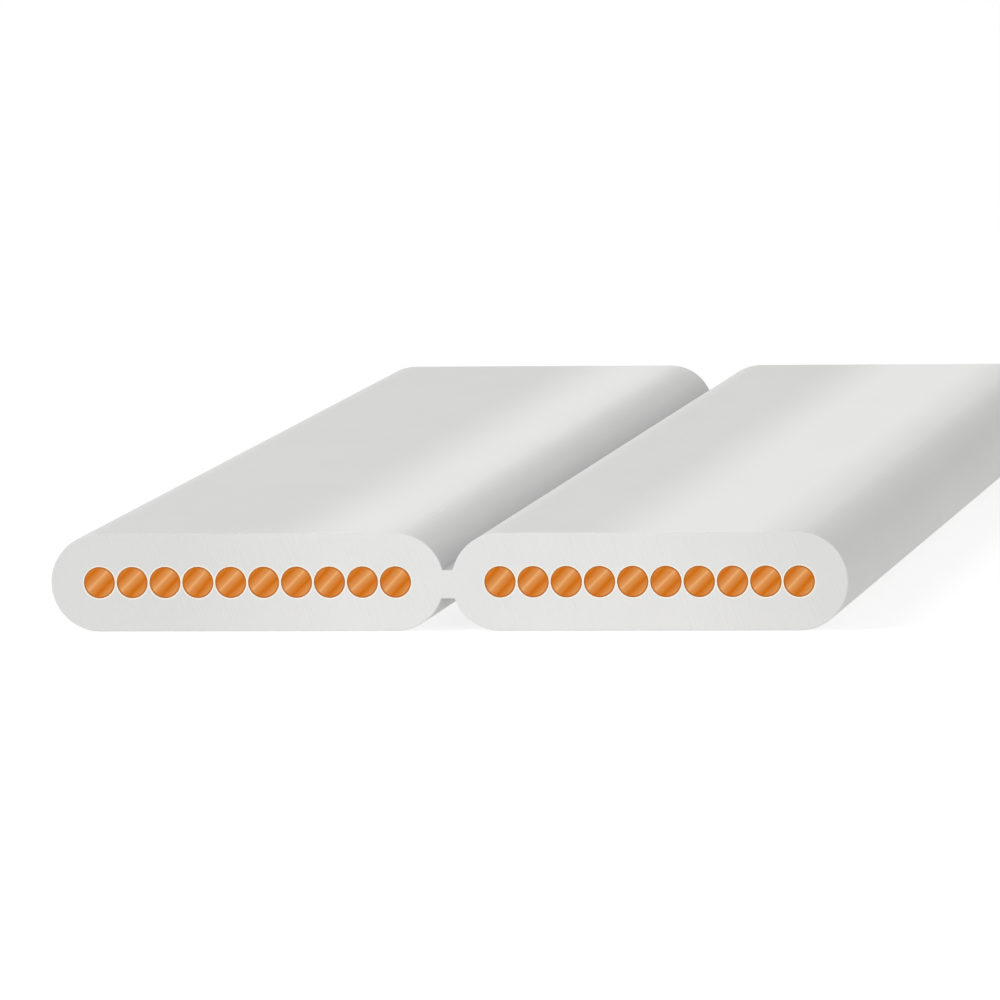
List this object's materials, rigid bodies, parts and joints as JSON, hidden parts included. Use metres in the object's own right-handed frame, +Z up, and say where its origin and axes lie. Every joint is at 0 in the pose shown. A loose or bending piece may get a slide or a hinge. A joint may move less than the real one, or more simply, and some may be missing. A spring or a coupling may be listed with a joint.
{
  "type": "flat speaker cable",
  "caption": "Cut piece of flat twin speaker cable: pale plastic lobes joined by a thin web that tears, each with a row of round copper wires cut flush.",
  "frame": {"origin": "middle of the underside, halfway along the cut piece and between the lobes", "axes": "+Y along the cable to its rear end, +X across it to the right lobe, +Z up, with the front cut face at -Y"},
  "size_m": [0.0164, 0.04, 0.002],
  "materials": {
    "jacket": "satin soft plastic, matt where it was cut",
    "copper": "bare drawn copper, bright where it was cut"
  },
  "bodies": {
    "root": {"jacket": "jacket", "left_wire_01": "copper", "left_wire_02": "copper", "left_wire_03": "copper", "left_wire_04": "copper", "left_wire_05": "copper", "left_wire_06": "copper", "left_wire_07": "copper", "left_wire_08": "copper", "left_wire_09": "copper", "left_wire_10": "copper", "right_wire_01": "copper", "right_wire_02": "copper", "right_wire_03": "copper", "right_wire_04": "copper", "right_wire_05": "copper", "right_wire_06": "copper", "right_wire_07": "copper", "right_wire_08": "copper", "right_wire_09": "copper", "right_wire_10": "copper"}
  },
  "joints": []
}
